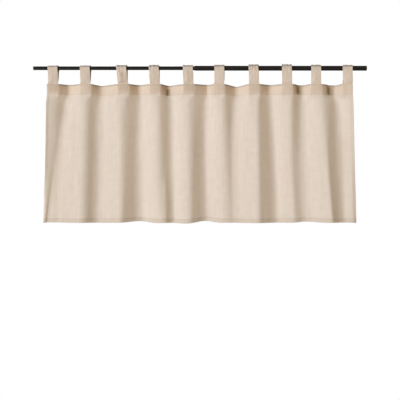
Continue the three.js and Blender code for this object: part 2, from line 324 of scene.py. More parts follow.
def plan_line(down):
    """The cloth in plan at one height, each bend a short curve. Columns are x, y, sag and lift."""
    rows = bends(down)
    points, rounding = rows[:, [0, 1, 3, 4]], rows[:, 2]
    line = [points[0]]
    for i in range(1, len(points) - 1):
        corner = points[i]
        ends = []
        for other in (points[i - 1], points[i + 1]):
            length = math.hypot(*(other - corner)[:2])
            ends.append(corner + (other - corner) * min(rounding[i] / length, ROUND_SHARE))
        for k in range(BEND_STEPS + 1):
            s = k / BEND_STEPS
            line.append(ends[0] * (1 - s) ** 2 + corner * 2 * s * (1 - s) + ends[1] * s ** 2)
    line.append(points[-1])
    return np.array(line)


def ease(low, high, value):
    """0 below low, 1 above high, and an even rise in between."""
    share = np.clip((value - low) / (high - low), 0, 1)
    return share * share * (3 - 2 * share)


def from_side(flat):
    """How far places along the flat cut are from the nearer of its sides."""
    return np.minimum(flat, PANEL_WIDTH - flat)


def from_foot(x):
    """How far places are from the middle of the nearest tab's foot."""
    return np.abs(x[:, None] - TAB_FEET).min(axis=1)


def over_tail(x, down):
    """1 where a tab's tail lies behind the heading's front, and 0 elsewhere."""
    beside = ease(TAB_WIDTH / 2, TAB_WIDTH / 2 + TAIL_BLUR, from_foot(x))
    below = ease(TAIL_LENGTH - TAIL_BLUR / 2, TAIL_LENGTH + TAIL_BLUR, down)
    return (1 - beside) * (1 - below)


# How far the heading's front stands out over a side hem, and how much cloth beside and below it comes along
SIDE_HEM_RISE = 0.8
SIDE_RISE_WIDTH = 5
SIDE_RISE_DROP = 8


def side_rise(flat, down):
    """The heading's front stands out over its side hems, which lie between it and the outer tabs."""
    beside = ease(SIDE_HEM, SIDE_HEM + SIDE_RISE_WIDTH, from_side(flat))
    below = ease(HEADING_SEAM, HEADING_HEIGHT + SIDE_RISE_DROP, down)
    return SIDE_HEM_RISE * (1 - beside) * (1 - below)


# The creases that show, in mm: where each starts and ends, how wide it is, and how far it stands out, which
# is below 0 for a trough
Crease = namedtuple("Crease", "x z x_end z_end width rise")
CREASES = [
    Crease(-127, -66, -127, -112, 5, -7.0),
    Crease(387, -40, 387, -108, 6, -7.5),
    Crease(507, -40, 508, -110, 7, -7.5),
    Crease(127, -125, 128, -640, 3, -0.25),
    Crease(-482, -108, -492, -560, 10, -0.7),
    Crease(-206, -105, -204, -270, 9, -0.9),
    Crease(-222, -330, -219, -700, 15, -3.0),
    Crease(17, -190, 24, -640, 9, -1.4),
    Crease(51, -130, 50, -640, 10, -0.8),
    Crease(449, -330, 452, -640, 12, -0.8),
    Crease(-292, -104, -286, -170, 8, 1.2),
    Crease(-45, -104, -52, -160, 9, 1.0),
    Crease(-160, -110, -150, -420, 10, 0.8),
    Crease(-107, -480, -104, -640, 7, -1.0),
    Crease(-134, -420, -134, -700, 9, 3.0),
    Crease(-500, -200, -494, -700, 60, 5.0),
    Crease(468, -110, 480, -700, 50, 3.5),
    Crease(-573, -104, -576, -250, 12, 1.2),
    Crease(362, -420, 372, -640, 9, 1.0),
    Crease(-398, -250, -404, -640, 10, -0.7),
    Crease(302, -180, 312, -560, 10, -0.8),
    Crease(556, -150, 575, -520, 11, 0.8),
    Crease(355, -92, 358, -330, 20, 2.5),
    Crease(592, -92, 596, -300, 42, 5.0),
    Crease(536, -100, 556, -460, 16, 2.2),
    Crease(-540, -330, -535, -640, 16, 0.8),
    Crease(-556, -112, -584, -640, 20, 4.2),
]
# A crease fades in and out over a third of its length, and over no more than this
CREASE_FADE = 45.0
# Ripples of the cloth itself. They are weaker in the stiff heading, and full this far under it.
Ripple = namedtuple("Ripple", "width height rise")
RIPPLES = [Ripple(46, 260, 0.9), Ripple(15, 120, 0.22), Ripple(6, 34, 0.07)]
HEADING_RIPPLES = 0.35
RIPPLE_FREE = 60.0
# Cloth between stitches puffs up a little on both sides of the line that the thread pulls in
PUCKER_WIDTH = 8.0
PUCKER_HEIGHT = 60.0
PUCKER_REACH = 13.0
PUCKER_RISE = 0.3
GROOVE_WIDTH = 1.3
GROOVE_DEPTH = 0.3
# The heading stands out over the layer behind it, and further over a tail
HEADING_RISE = 0.35
TAIL_RISE = 0.45


def seam_distances(flat, down):
    """How far the cloth is from its lines of stitches: top edge, heading seam, bottom hem and side hems."""
    below_heading = PANEL_WIDTH * (down < HEADING_HEIGHT)
    lines = [down - STITCH_INSET + 0 * flat, down - HEADING_SEAM + 0 * flat, HEM_SEAM - down + 0 * flat]
    return [*lines, from_side(flat) - SIDE_HEM + STITCH_INSET + below_heading]


def relief(flat, down, x, z):
    """How far the cloth stands out from its main folds."""
    out = HEADING_RISE * (1 - ease(HEADING_SEAM, HEADING_HEIGHT, down)) + TAIL_RISE * over_tail(x, down)
    out += side_rise(flat, down)
    for crease in CREASES:
        share = (crease.z - z) / (crease.z - crease.z_end)
        middle = crease.x + (crease.x_end - crease.x) * share
        reach = min(CREASE_FADE, (crease.z - crease.z_end) / 3)
        fade = ease(0, reach, crease.z - z) * ease(0, reach, z - crease.z_end)
        out += crease.rise * fade * np.exp(-((x - middle) / crease.width) ** 2)
    under_heading = ease(HEADING_HEIGHT, HEADING_HEIGHT + RIPPLE_FREE, down)
    free = HEADING_RIPPLES + (1 - HEADING_RIPPLES) * under_heading
    # Each ripple and each seam reads the noise at a level of its own
    for number, ripple in enumerate(RIPPLES):
        row = down / ripple.height
        wave = np.array([noise.noise((place / ripple.width, row, 7.3 * number)) for place in flat])
        out += ripple.rise * free * wave
    for number, distance in enumerate(seam_distances(flat, down)):
        along = flat if number < 3 else np.full_like(flat, down)
        row = down / PUCKER_HEIGHT
        wave = np.array([noise.noise((place / PUCKER_WIDTH, 31.7 * number, row)) for place in along])
        out += PUCKER_RISE * np.exp(-np.abs(distance) / PUCKER_REACH) * wave
        out -= GROOVE_DEPTH * np.exp(-(distance / GROOVE_WIDTH) ** 2)
    return out


def hung_cloth(flat, down, depth=0.0):
    """Places of the hung cloth in mm, and its level normals, from places along the flat cut.

    down is how far they are below its top edge, and depth how far they are behind its front layer.
    """
    seam, share = HEADING_HEIGHT / PANEL_DROP, down / PANEL_DROP
    line = plan_line(max(0.0, (share - seam) / (1 - seam)))
    run = np.concatenate([[0], np.cumsum(np.hypot(np.diff(line[:, 0]), np.diff(line[:, 1])))])
    run *= PANEL_WIDTH / run[-1]
    x, y, sag, lift = (np.interp(flat, run, line[:, k]) for k in range(4))
    ahead = np.minimum(flat + FACING_REACH, PANEL_WIDTH)
    behind = np.maximum(flat - FACING_REACH, 0)
    step_x, step_y = (np.interp(ahead, run, line[:, k]) - np.interp(behind, run, line[:, k]) for k in (0, 1))
    normal = np.column_stack([step_y, -step_x]) / np.hypot(step_x, step_y)[:, None]
    z = PANEL_TOP - sag * (1 - share) ** SAG_FADE - share * (PANEL_DROP - lift)
    level = np.column_stack([x, y - PANEL_FORWARD]) + normal * (relief(flat, down, x, z) - depth)[:, None]
    return np.column_stack([level, z]), normal


def turned_edge(width, steps):
    """The cloth at a folded edge, as how far inside the edge it is and how far it has turned, from 0 to 1."""
    arc = [(TURN_GAP / 2, turn) for turn in np.linspace(0, 1, 5)]
    return arc + [(inside, 1.0) for inside in np.linspace(TURN_GAP / 2, width, steps + 1)[1:]]


def spread(start, end, step):
    """Even places after start and up to end, at most a step apart."""
    count = math.ceil((end - start) / step)
    return [start + (end - start) * k / count for k in range(1, count + 1)]


def lengths_along(inside, turns):
    """Distances along the flat cloth through its folded edges."""
    around = math.pi * TURN_GAP / 2 * np.abs(np.diff(turns))
    return np.concatenate([[0], np.cumsum(np.abs(np.diff(inside)) + around)])


def laid_grid(places, along, down, **values):
    """A grid on rows and columns of places in mm. Its UV map is the flat cut, and values are kept by name."""
    bm = bmesh.new()
    row_count, column_count = places.shape[:2]
    bmesh.ops.create_grid(bm, x_segments=column_count - 1, y_segments=row_count - 1, size=0.5)
    cut = bm.loops.layers.uv.new("cut")
    layers = {name: bm.verts.layers.float.new(name) for name in values}
    for vert in bm.verts:
        column = round((vert.co.x + 0.5) * (column_count - 1))
        row = round((0.5 - vert.co.y) * (row_count - 1))
        for loop in vert.link_loops:
            loop[cut].uv = (along[column] * MM, -down[row] * MM)
        for name, layer in layers.items():
            vert[layer] = values[name][row][column]
        vert.co = Vector(places[row][column]) * MM
    return bm


# Undyed cotton and linen in a plain weave: matt and soft, with the faint streaks of uneven yarns, mostly
# upright. A yarn is 0.6 mm wide, and is drawn at 1.2 mm, so that the weave shows from near by. Its thick
# places, called slubs, are as wide and as long as this, and the fibres' own tone changes over a patch.
YARN_WIDTH = 1.2 * MM
WARP_SLUB = 2.38 * MM
WARP_SLUB_LENGTH = 111 * MM
WEFT_SLUB = 2.63 * MM
WEFT_SLUB_LENGTH = 71.4 * MM
FIBRE_PATCH = 26.3 * MM


def woven_cloth(name, colour, tints=None):
    """A plain weave, one yarn over and one under. tints are its colours where the mesh's values are 1."""
    material, tree = new_material(name)
    cut = add_node(tree, "ShaderNodeUVMap", {"uv_map": "cut"}).outputs["UV"]
    # At a scale of 1, a wave texture's bands are pi / 10 apart
    ribs = {"Scale": math.pi / (10 * YARN_WIDTH), "Distortion": 0.5}
    warp = add_node(tree, "ShaderNodeTexWave", {"bands_direction": "X", **ribs}, {"Vector": cut})
    weft = add_node(tree, "ShaderNodeTexWave", {"bands_direction": "Y", **ribs}, {"Vector": cut})
    over = add_node(tree, "ShaderNodeTexChecker", {"Scale": 1 / YARN_WIDTH}, {"Vector": cut})
    weave = add_node(
        tree, "ShaderNodeMixRGB", {},
        {"Fac": over.outputs["Fac"], "Color1": warp.outputs["Fac"], "Color2": weft.outputs["Fac"]})
    slubs = []
    for across, down in [(WARP_SLUB, WARP_SLUB_LENGTH), (WEFT_SLUB_LENGTH, WEFT_SLUB)]:
        drawn_out = add_node(tree, "ShaderNodeMapping", {"Scale": (1 / across, 1 / down, 1)}, {"Vector": cut})
        slubs.append(add_node(
            tree, "ShaderNodeTexNoise", {"Scale": 1, "Detail": 3}, {"Vector": drawn_out.outputs["Vector"]}))
    mottle = add_node(tree, "ShaderNodeTexNoise", {"Scale": 1 / FIBRE_PATCH, "Detail": 4}, {"Vector": cut})
    streaks = add_node(
        tree, "ShaderNodeMixRGB", {"Fac": 0.25},
        {"Color1": slubs[0].outputs["Fac"], "Color2": slubs[1].outputs["Fac"]})
    yarn = add_node(
        tree, "ShaderNodeMixRGB", {"Fac": 0.3},
        {"Color1": streaks.outputs["Color"], "Color2": mottle.outputs["Fac"]})
    tone = add_node(
        tree, "ShaderNodeMapRange", {"From Min": 0.35, "From Max": 0.65, "To Min": 0.93, "To Max": 1.05},
        {"Value": yarn.outputs["Color"]})
    body = add_node(tree, "ShaderNodeRGB")
    body.outputs["Color"].default_value = srgb(colour)
    for value, tint in (tints or {}).items():
        amount = add_node(tree, "ShaderNodeAttribute", {"attribute_name": value})
        body = add_node(
            tree, "ShaderNodeMixRGB", {"Color2": srgb(tint)},
            {"Fac": amount.outputs["Fac"], "Color1": body.outputs["Color"]})
    toned = add_node(
        tree, "ShaderNodeMixRGB", {"blend_type": "MULTIPLY", "Fac": 1.0},
        {"Color1": body.outputs["Color"], "Color2": tone.outputs["Result"]})
    weave_bump = add_node(
        tree, "ShaderNodeBump", {"Strength": 0.5, "Distance": 0.12 * MM}, {"Height": weave.outputs["Color"]})
    yarn_bump = add_node(
        tree, "ShaderNodeBump", {"Strength": 0.5, "Distance": 0.3 * MM},
        {"Height": yarn.outputs["Color"], "Normal": weave_bump.outputs["Normal"]})
    shader = add_node(
        tree, "ShaderNodeBsdfPrincipled",
        {"Roughness": 0.92, "Sheen Weight": 0.1, "Sheen Roughness": 0.5, "Specular IOR Level": 0.25},
        {"Base Color": toned.outputs["Color"], "Normal": yarn_bump.outputs["Normal"]})
    add_node(tree, "ShaderNodeOutputMaterial", links={"Surface": shader.outputs["BSDF"]})
    return material


def cloth_piece(bm, name, material, *nodes):
    """A laid grid made as thick as the cloth, half to each side of the grid."""
    piece = finish_piece(bm, name, material, "cloth", *nodes)
    thickness = piece.modifiers.new("cloth_thickness", "SOLIDIFY")
    thickness.thickness = CLOTH_THICKNESS * MM
    thickness.offset = 0
    return piece


# The grid's columns and rows lie closer together at the stitches and the folded edges
COLUMN_STEP = 3.4
ROW_STEP = 7
near_side = [2.5, 5.0, 7.4, SIDE_HEM - STITCH_INSET, 10.2, 12.5, 15.0]
side_turn = turned_edge(SIDE_HEM, 3)
columns = [*reversed(side_turn), *[(inside, 0.0) for inside in near_side]]
columns += [(place, 0.0) for place in spread(near_side[-1], PANEL_WIDTH - near_side[-1], COLUMN_STEP)]
columns += [(PANEL_WIDTH - inside, 0.0) for inside in reversed(near_side[:-1])]
columns += [(PANEL_WIDTH - inside, turn) for inside, turn in side_turn]
flat, flat_turn = np.array(columns).T
downs = [0.0, STITCH_INSET, 2.6, *spread(2.6, TAIL_LENGTH, 6), HEADING_SEAM - 1.2, HEADING_SEAM]
downs += [HEADING_SEAM + 1.2, HEADING_HEIGHT + 0.6, 44.0, 48.0, *spread(48, HEM_SEAM - 3, ROW_STEP)]
downs += [HEM_SEAM - 1.3, HEM_SEAM, HEM_SEAM + 1.3, *spread(HEM_SEAM + 1.3, PANEL_DROP - 2, 4)]
rows = [(down, 0.0) for down in downs]
rows += [(PANEL_DROP - inside, turn) for inside, turn in turned_edge(BOTTOM_HEM, 4)]

# Where a side hem is turned up with the bottom hem, the fold goes round three layers
side_depth = TURN_GAP * (1 - np.cos(math.pi * flat_turn)) / 2
side_bulge = TURN_GAP / 2 * np.sin(math.pi * flat_turn) * np.sign(flat - PANEL_WIDTH / 2)
at_side = 1 - ease(SIDE_HEM, SIDE_HEM + CORNER_EASE, from_side(flat))
fold_radius = (TURN_GAP * (1 + 2 * at_side) - 2 * side_depth) / 2

# How strongly the painted shade over each tab's tail shows on the heading's front, at its left side and at
# its right, and how much of that is lost on the way down to its end
TailShade = namedtuple("TailShade", "left right")
TAIL_SHADES = [
    TailShade(0.6, 1.0),
    TailShade(0.0, 0.65),
    TailShade(0.5, 1.0),
    TailShade(0.25, 0.8),
    TailShade(0.6, 0.95),
    TailShade(0.0, 0.55),
    TailShade(0.4, 0.65),
    TailShade(0.0, 0.5),
    TailShade(0.0, 0.45),
    TailShade(0.0, 0.0),
]
TAIL_FADES = 0.5
# Three folds of the heading close on themselves in a narrow pocket, from z down to z_end, which is painted in
# shade
Pocket = namedtuple("Pocket", "x z z_end width")
POCKETS = [Pocket(-127, -74, -104, 8), Pocket(385, -64, -98, 11), Pocket(506, -66, -104, 12)]
# How much of the heading's deeper tone, painted for the light its two layers hold back, the two layers of a
# hem have
HEM_DOUBLED = 0.3
SIDE_HEM_DOUBLED = 0.05
# A fold is painted in shade where this share of its run goes back, and the painted shade is softened over
# five columns
SHADE_STARTS = 0.2
SHADE_FULL = 0.85
SHADE_SOFTENED = (0.1, 0.22, 0.36, 0.22, 0.1)
# Where two columns fall together at a hem's corner, the step between them counts as this
LEAST_STEP = 0.01
# The top edge is painted with a dark line of shade. It is strongest where the cloth runs away from the front,
# weaker where it faces it, and mostly hidden at a tab.
TOP_LINE_FULL = 1.5
TOP_LINE_GONE = 5.5
TOP_LINE_FRONT = 0.4
TOP_LINE_HIDDEN = 0.85
# How strongly the painted shade along the seams and over the bottom hem reads, as shares of the same tone,
# and how wide
PAINTED_SEAM_SHADE = 0.1
PAINTED_HEM_SEAM_SHADE = 0.07
SEAM_WIDTH = 1.6


def tail_shade(x, down):
    """How much painted shade darkens the heading's front over a tail."""
    nearest = np.abs(x[:, None] - TAB_FEET).argmin(axis=1)
    left, right = np.array(TAIL_SHADES)[nearest].T
    to_right = np.clip((x - TAB_FEET[nearest]) / TAB_WIDTH + 0.5, 0, 1)
    fading = 1 - TAIL_FADES * ease(TAIL_LENGTH / 2, TAIL_LENGTH, down)
    return over_tail(x, down) * (left + (right - left) * to_right) * fading


def painted_pocket_shade(x, z):
    """How much painted shade darkens the heading in its pockets."""
    shade = np.zeros_like(x)
    for pocket in POCKETS:
        depth = ease(0, 8, pocket.z - z) * ease(-6, 4, z - pocket.z_end)
        shade = np.maximum(shade, depth * np.exp(-((x - pocket.x) / pocket.width) ** 2))
    return shade


def cloth_tones(place, down):
    """How strongly each of the cloth's painted deeper tones and painted shades shows along a row of places.
    """
    x, z = place[:, 0], place[:, 2]
    in_heading = 1 - ease(HEADING_SEAM + 1, HEADING_HEIGHT + 1, down)
    in_hem = ease(-2, 0, down - HEM_SEAM)
    in_side_hem = 1 - ease(SIDE_HEM - 1.5, SIDE_HEM, from_side(flat))
    tail = tail_shade(x, down)
    # Less light reaches the cloth where it runs away from the front, most of all at the top, so shade is
    # painted there
    step = np.gradient(place[:, :2], axis=0)
    goes_back = step[:, 1] / np.maximum(np.hypot(*step.T), LEAST_STEP)
    away = np.pad(ease(SHADE_STARTS, SHADE_FULL, goes_back), 2, "edge")
    away = np.convolve(away, SHADE_SOFTENED, "valid")
    fading = np.clip(1.25 - down / HEADING_HEIGHT, 0, 1)
    distances = seam_distances(flat, down)[1:]
    heading_seam, *hems = (np.exp(-(distance / SEAM_WIDTH) ** 2) for distance in distances)
    # Painted shade: a dark line along the top edge, lines along the puckered seams, and the bottom hem's two
    # layers
    top_line = (1 - ease(TOP_LINE_FULL, TOP_LINE_GONE, down)) * (1 - TOP_LINE_HIDDEN * over_tail(x, 0))
    top_line *= TOP_LINE_FRONT + (1 - TOP_LINE_FRONT) * away
    stitched = PAINTED_SEAM_SHADE * heading_seam + PAINTED_HEM_SEAM_SHADE * np.max(hems, axis=0) + PAINTED_SEAM_SHADE * in_hem
    return {
        "doubled": np.maximum(max(in_heading, HEM_DOUBLED * in_hem), SIDE_HEM_DOUBLED * in_side_hem),
        "tail": tail,
        "fold_painted_shade": in_heading * away * (1 - tail) * fading,
        "pocket": in_heading * painted_pocket_shade(x, z),
        "seam": np.clip(top_line + stitched, 0, 1),
    }


places, tones = [], []
for down, turn in rows:
    place, normal = hung_cloth(flat, down, side_depth + fold_radius * (1 - math.cos(math.pi * turn)))
    place[:, :2] += side_bulge[:, None] * np.column_stack([-normal[:, 1], normal[:, 0]])
    place[:, 2] -= fold_radius * math.sin(math.pi * turn)
    places.append(place)
    tones.append(cloth_tones(place, down))
# Light comes through one layer of the cloth, and less of it through the heading, so the heading is painted
# deeper in tone, above all over the tails and inside its folds. Painted shade also darkens its pockets, top
# edge, seams and hem.
cloth = woven_cloth("plain_woven_cotton_linen", "#e7dace", {
    "doubled": "#e6d4c3", "tail": "#cdb9a6", "fold_painted_shade": "#c6a787", "pocket": "#a18d70", "seam": "#73685e"})
flat_down, down_turn = np.array(rows).T
bm = laid_grid(
    np.array(places), lengths_along(flat, flat_turn), lengths_along(flat_down, down_turn),
    **{name: [row[name] for row in tones] for name in tones[0]})
panel = cloth_piece(bm, "curtain_cloth", cloth, "curtain_panel")

# Heading facing
# A strip of the same cloth behind the panel's top edge, as long as the panel is wide, and stitched to it
# along both edges. The tabs' tails are closed in between, so it stands further back behind each of them.
FACING_BEHIND = 0.65
TAILS_THICKNESS = 2.7
FACING_EDGE = 1.0
FACING_STEP = 2.6
# Where it comes forward again, from a tail's side and above the seam
BESIDE_TAIL = 0.4
BESIDE_TAIL_END = 2.9
ABOVE_SEAM = 0.4


def facing_depth(flat, down, x):
    """How far the facing is behind the panel's front layer."""
    beside = ease(TAB_WIDTH / 2 + BESIDE_TAIL, TAB_WIDTH / 2 + BESIDE_TAIL_END, from_foot(x))
    below = ease(TAIL_LENGTH - 1, HEADING_SEAM - ABOVE_SEAM, down)
    return FACING_BEHIND + TAILS_THICKNESS * (1 - beside) * (1 - below) + side_rise(flat, down)


facing_flat = np.array([FACING_EDGE, *spread(FACING_EDGE, PANEL_WIDTH - FACING_EDGE, FACING_STEP)])
facing_downs = [0.2, STITCH_INSET, 3.0, *spread(3, TAIL_LENGTH - 1, ROW_STEP)]
facing_downs += [HEADING_SEAM - 1.2, HEADING_SEAM, 39.6, 40.6]
facing_places = []
for down in facing_downs:
    front = hung_cloth(facing_flat, down)[0]
    facing_places.append(hung_cloth(facing_flat, down, facing_depth(facing_flat, down, front[:, 0]))[0])
from_seam = np.array(facing_downs)[:, None] - HEADING_SEAM + 0 * facing_flat
# The facing takes the heading's painted deeper tone, with painted shade along its seam
bm = laid_grid(
    np.array(facing_places), facing_flat, facing_downs,
    doubled=np.ones_like(from_seam), seam=PAINTED_SEAM_SHADE * np.exp(-(from_seam / SEAM_WIDTH) ** 2))
facing = cloth_piece(bm, "heading_facing", cloth, "heading_band")

# Tabs
# Ten strips of the same cloth, each folded lengthwise and pressed, so that its long edges are soft rolls.
# They go over the rod, and both ends are sewn into the heading. Some are creased and bunch up on the rod.
TAB_THICKNESS = 1.0
TAB_ROLL = 0.62
TAB_ROLL_WIDTH = 1.4
TAB_GAP = 0.3
ROD_CLEARANCE = 0.35
TAB_FOOT = PANEL_TOP + 2
TAB_STEP = 1.7
# A tab is held in the heading up to one height and is free of it from the next. LEG is where its strips leave
# the rod and where they hang clear of it, and CROWN is where it goes over the top of the rod.
TAB_HELD = -60
TAB_FREE = -50
LEG = (4, -30)
CROWN = (-6, 8)
# A row for each tab: how creased it is, how much cloth bunches up between its outer face and the top of the
# rod, how far it has slid along the rod, how far its back strip lies to the right of its front one, and how
# much its front strip is turned to the left
Hang = namedtuple("Hang", "creasing bunch slide shift turn")
HANGS = [
    Hang(0.4, 1.5, 1.0, 2.0, -0.06),
    Hang(0.4, 1.7, 0.0, 2.2, -0.04),
    Hang(1.1, 3.1, -1.8, 1.8, -0.08),
    Hang(1.1, 3.4, -1.0, 0.9, -0.07),
    Hang(0.7, 3.9, -0.6, 0.4, -0.08),
    Hang(0.4, 2.3, 0.8, 1.4, 0.1),
    Hang(1.1, 3.5, -1.0, 0.9, 0.1),
    Hang(1.2, 4.0, -0.6, 1.3, 0.11),
    Hang(0.6, 2.4, -1.0, 1.3, 0.06),
    Hang(0.4, 2.0, 1.5, 1.6, 0.16),
]
CREASE_RISE = 1.1
# The creases take up this share of a strip's width. A strip bows out between its edges and sways a little.
DRAWN_IN = 0.035
TAB_BOW = 1.6
TAB_SWAY = 0.5
# The creases along the tabs' front strips, from z down to z_end
TabCrease = namedtuple("TabCrease", "tab across z across_end z_end width rise")
TAB_CREASES = [
    TabCrease(1, -6, -20, -5, -90, 8, 1.5),
    TabCrease(3, -9, -10, -5, -90, 9, 4.0),
    TabCrease(4, -8, -6, -7, -60, 2.5, 0.5),
    TabCrease(4, 4, -6, 4, -60, 2.5, 0.5),
    TabCrease(5, -5, -6, -4, -90, 7, 2.0),
    TabCrease(7, -6, -8, -7, -60, 2.5, 0.5),
    TabCrease(7, 5, -10, 4, -64, 2.5, 0.5),
    TabCrease(8, -5, -6, -5, -50, 2.5, 0.6),
    TabCrease(8, 7, -12, 6, -60, 2.5, 0.5),
    TabCrease(9, -3, -6, -2, -60, 6, 0.8),
]
TAB_CREASE_FADE = 14


def tab_path(rod_radius):
    """The strip's middle, from the end of its back tail to its front one's, as rows of length, y and z."""
    radius = rod_radius + ROD_CLEARANCE + TAB_THICKNESS / 2
    half = (TAB_THICKNESS + TAB_GAP) / 2
    leg_angle = math.acos(radius / math.hypot(half, TAB_FOOT)) + math.atan2(half, -TAB_FOOT)
    around = np.linspace(leg_angle, 2 * math.pi - leg_angle, 41)
    over_rod = [(radius * math.sin(a), -radius * math.cos(a)) for a in around]
    tail_end = PANEL_TOP - TAIL_LENGTH
    line = np.array([(half, tail_end), (half, TAB_FOOT), *over_rod, (-half, TAB_FOOT), (-half, tail_end)])
    run = np.concatenate([[0], np.cumsum(np.hypot(*np.diff(line, axis=0).T))])
    at = np.linspace(0, run[-1], round(run[-1] / TAB_STEP))
    return np.column_stack([at, np.interp(at, run, line[:, 0]), np.interp(at, run, line[:, 1])])


def strip_section():
    """Once round the folded strip's section, as rows of place across it and height above its middle."""
    edge, half = TAB_WIDTH / 2 - TAB_ROLL, TAB_THICKNESS / 2
    across = np.linspace(-edge, edge, 25)
    height = half + (TAB_ROLL - half) * np.exp(-((edge - np.abs(across)) / TAB_ROLL_WIDTH) ** 2)
    turn = np.linspace(0, math.pi, 7)[1:-1]
    roll = np.column_stack([edge + TAB_ROLL * np.sin(turn), TAB_ROLL * np.cos(turn)])
    front = np.column_stack([across, height])
    return np.concatenate([front, roll, -front, -roll, front[:1]])


def long_creases(number, across, z):
    """How far the creases along one tab's front strip stand out."""
    rise = 0
    for crease in TAB_CREASES:
        if crease.tab == number and crease.z_end < z < crease.z:
            share = (z - crease.z) / (crease.z_end - crease.z)
            middle = crease.across + (crease.across_end - crease.across) * share
            fade = ease(0, TAB_CREASE_FADE, crease.z - z) * ease(0, TAB_CREASE_FADE, z - crease.z_end)
            rise += crease.rise * fade * math.exp(-((across - middle) / crease.width) ** 2)
    return rise


def strip_relief(number, outer, across, length, y, z):
    """How far one tab's strip stands out. outer is 1 on its outer face and 0 on the face at the rod."""
    hang = HANGS[number - 1]
    free = ease(TAB_HELD, TAB_FREE, z)
    on_leg = free * ease(*LEG, z)
    # Long creases, shorter ones and small puckers. Each tab reads the noise at a place of its own.
    soft = noise.noise((across / 6 + 5.1 * number, length / 34, 2.7 * number))
    fine = noise.noise((across / 3.2, length / 12 + 3.3 * number, 1.9 * number))
    small = noise.noise((across / 4.2, length / 4.2, 4.3 * number)) * ease(TAB_HELD, -8, z)
    rise = hang.creasing * CREASE_RISE * free * (0.5 + soft + fine + 0.8 * small)
    out = max(rise, 0) + TAB_BOW * on_leg * math.cos(math.pi * across / TAB_WIDTH)
    out += hang.turn * across * on_leg
    out += hang.bunch * outer * ease(*CROWN, z) * (1 + 0.35 * small)
    return out + (long_creases(number, across, z) * free if y < 0 else 0)


def tab_piece(number, fold, rod_radius):
    """One tab over the rod, where the fold's row puts it."""
    hang = HANGS[number - 1]
    path, section = tab_path(rod_radius), strip_section()
    outers = 0.5 + section[:, 1] / (2 * TAB_ROLL)
    step = np.gradient(path[:, 1:], axis=0)
    outward = np.column_stack([step[:, 1], -step[:, 0]]) / np.hypot(*step.T)[:, None]
    places, turned = [], []
    for (length, y, z), (out_y, out_z) in zip(path, outward):
        down = min(1.0, max(0.0, z / PANEL_TOP))
        free = ease(TAB_HELD, TAB_FREE, z)
        sway = TAB_SWAY * noise.noise((length / 22, 9.4 * number, 0.5))
        sway += hang.slide + hang.shift * ease(-2, 6, y)
        row = []
        for (across, height), outer in zip(section, outers):
            out = height + strip_relief(number, outer, across, length, y, z)
            place_y = y + out * out_y
            x = fold.tab + across * (1 - DRAWN_IN * free) + sway * free
            x += fold.lean * down + fold.twist * place_y * (1 - down)
            row.append((x, place_y, z + out * out_z))
        places.append(row)
        # Painted shade, where the strip faces up over the rod and on the inside face of its back strip
        over_top, inside = ease(0.05, 0.7, out_z), ease(0, 1, y)
        turned.append([max(outer * over_top, (1 - outer) * inside) for outer in outers])
    around = np.concatenate([[0], np.cumsum(np.hypot(*np.diff(section, axis=0).T))])
    bm = laid_grid(np.array(places), around, path[:, 0], turned=turned)
    bmesh.ops.remove_doubles(bm, verts=bm.verts, dist=SAME_PLACE)
    bmesh.ops.holes_fill(bm, edges=bm.edges, sides=0)
    bmesh.ops.recalc_face_normals(bm, faces=bm.faces)
    node = f"tab_{number:02d}"
    piece = finish_piece(bm, f"{node}_strip", tab_cloth, "tab_cloth", node)


# The same cloth in four layers, which let no light through. Shade is painted on it: it is greyer over the top
# of the rod and inside the loop, where less light reaches it.
tab_cloth = woven_cloth("folded_cotton_linen_strip", "#e1d1c3", {"turned": "#a59b93"})
for number, fold in enumerate(FOLDS, start=1):
    if fold.tab + TAB_WIDTH / 2 < THICK_START / MM:
        tab_piece(number, fold, THIN_RADIUS / MM)
    else:
        tab_piece(number, fold, THICK_RADIUS / MM)

# Stitching
# Lockstitch in polyester-cotton sewing thread that matches the cloth: along the heading's top edge, its seam,
# the bottom hem and both side hems. It shows on the front and on the back.
STITCH_PITCH = 3.2
STITCH_LENGTH = 2.7
THREAD = 0.42
STITCH_OUT = CLOTH_THICKNESS / 2 + 0.04
# Spun thread with a soft sheen, whose twist shows as small darker and lighter places
PLY_TWIST = 0.71 * MM
sewing_thread, tree = new_material("polyester_cotton_sewing_thread")
ply = add_node(
    tree, "ShaderNodeTexNoise", {"Scale": 1 / PLY_TWIST, "Detail": 2},
    {"Vector": add_node(tree, "ShaderNodeTexCoord").outputs["Object"]})
thread_tone = add_node(
    tree, "ShaderNodeMixRGB", {"Color1": srgb("#d5c0a6"), "Color2": srgb("#e0cfb9")},
    {"Fac": ply.outputs["Fac"]})
ply_bump = add_node(
    tree, "ShaderNodeBump", {"Strength": 0.4, "Distance": 0.08 * MM}, {"Height": ply.outputs["Fac"]})
thread_shader = add_node(
    tree, "ShaderNodeBsdfPrincipled", {"Roughness": 0.7, "Sheen Weight": 0.15},
    {"Base Color": thread_tone.outputs["Color"], "Normal": ply_bump.outputs["Normal"]})
add_node(tree, "ShaderNodeOutputMaterial", links={"Surface": thread_shader.outputs["BSDF"]})

grain_bm = bmesh.new()
bmesh.ops.create_uvsphere(grain_bm, u_segments=6, v_segments=4, radius=0.5)
bmesh.ops.scale(grain_bm, verts=grain_bm.verts, vec=(THREAD * MM, THREAD * MM, STITCH_LENGTH * MM))
grain = bpy.data.meshes.new("stitch")
grain_bm.to_mesh(grain)
grain_bm.free()


def stitched_line(name, *lines):
    """Stitches centred on lines of places in mm, each a grain of thread lying along its line."""
    bm = bmesh.new()
    for line in lines:
        for place, direction in zip(line, np.gradient(line, axis=0)):
            turn = Vector(direction).to_track_quat("Z", "Y").to_matrix().to_4x4()
            stitch = grain.copy()
            stitch.transform(Matrix.Translation(Vector(place) * MM) @ turn)
            bm.from_mesh(stitch)
            bpy.data.meshes.remove(stitch)
    return finish_piece(bm, name, sewing_thread, "cloth")


